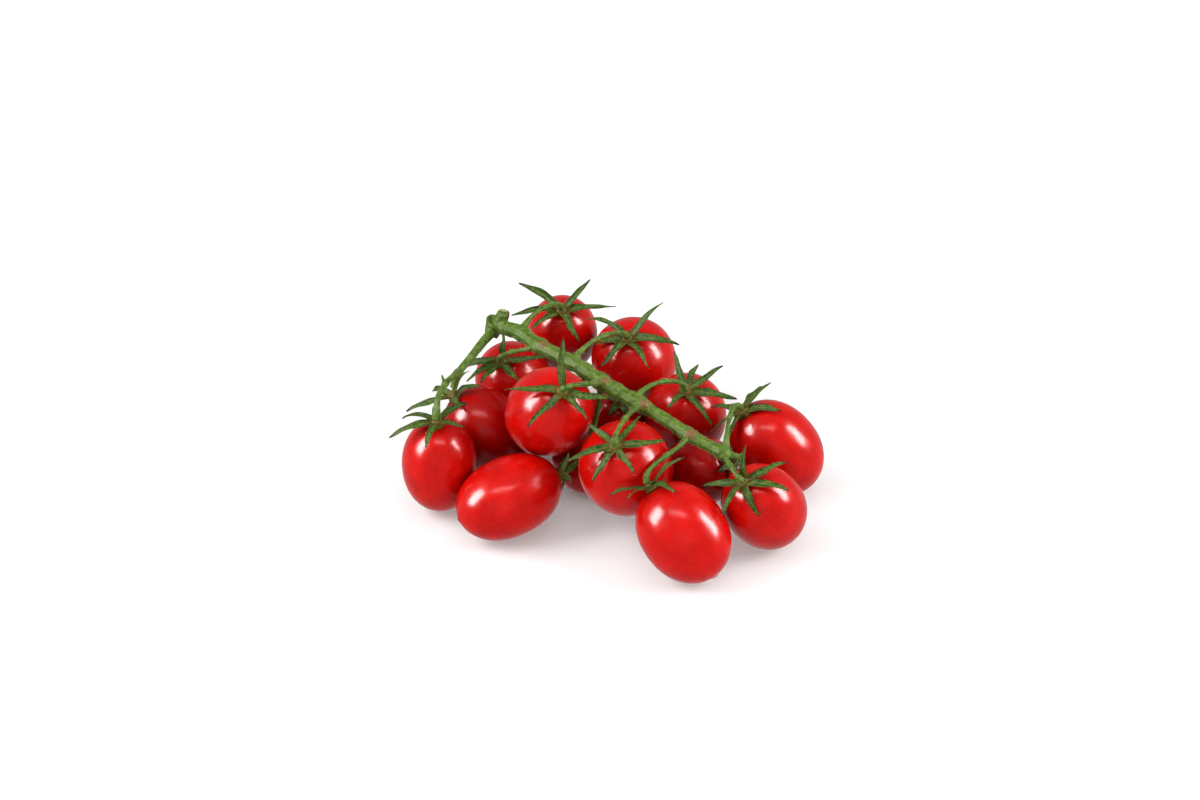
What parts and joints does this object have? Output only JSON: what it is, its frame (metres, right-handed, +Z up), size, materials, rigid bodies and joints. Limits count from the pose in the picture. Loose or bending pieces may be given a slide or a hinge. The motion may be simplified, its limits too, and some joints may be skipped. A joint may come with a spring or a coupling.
{
  "type": "truss of tomatoes",
  "caption": "Picked truss of ripe plum cherry tomatoes lying in a loose pile, still joined by their calyxes and thin stalks to one green main stalk.",
  "frame": {"origin": "on the supporting surface, under the middle of the truss's bounding box", "axes": "+Z up; +X along the pile's long way, from the main stalk's picked end towards its thin tip; -Y is the side that most stem ends face"},
  "size_m": [0.1454, 0.1348, 0.0642],
  "materials": {
    "tomato_skin": "glossy ripe red tomato skin",
    "sepal_green": "matte dark green leafy sepals with fine hairs",
    "stem_green": "matte light green living stalk with fine hairs"
  },
  "bodies": {
    "root": {"tomato_01": "tomato_skin", "tomato_02": "tomato_skin", "tomato_03": "tomato_skin", "tomato_04": "tomato_skin", "tomato_05": "tomato_skin", "tomato_06": "tomato_skin", "tomato_07": "tomato_skin", "tomato_08": "tomato_skin", "tomato_09": "tomato_skin", "tomato_10": "tomato_skin", "tomato_11": "tomato_skin", "tomato_12": "tomato_skin", "tomato_13": "tomato_skin", "tomato_14": "tomato_skin", "tomato_15": "tomato_skin", "calyx_01": "sepal_green", "calyx_02": "sepal_green", "calyx_03": "sepal_green", "calyx_04": "sepal_green", "calyx_05": "sepal_green", "calyx_06": "sepal_green", "calyx_07": "sepal_green", "calyx_08": "sepal_green", "calyx_09": "sepal_green", "calyx_10": "sepal_green", "calyx_11": "sepal_green", "calyx_12": "sepal_green", "calyx_13": "sepal_green", "calyx_14": "sepal_green", "calyx_15": "sepal_green", "vine_stem": "stem_green"}
  },
  "joints": []
}
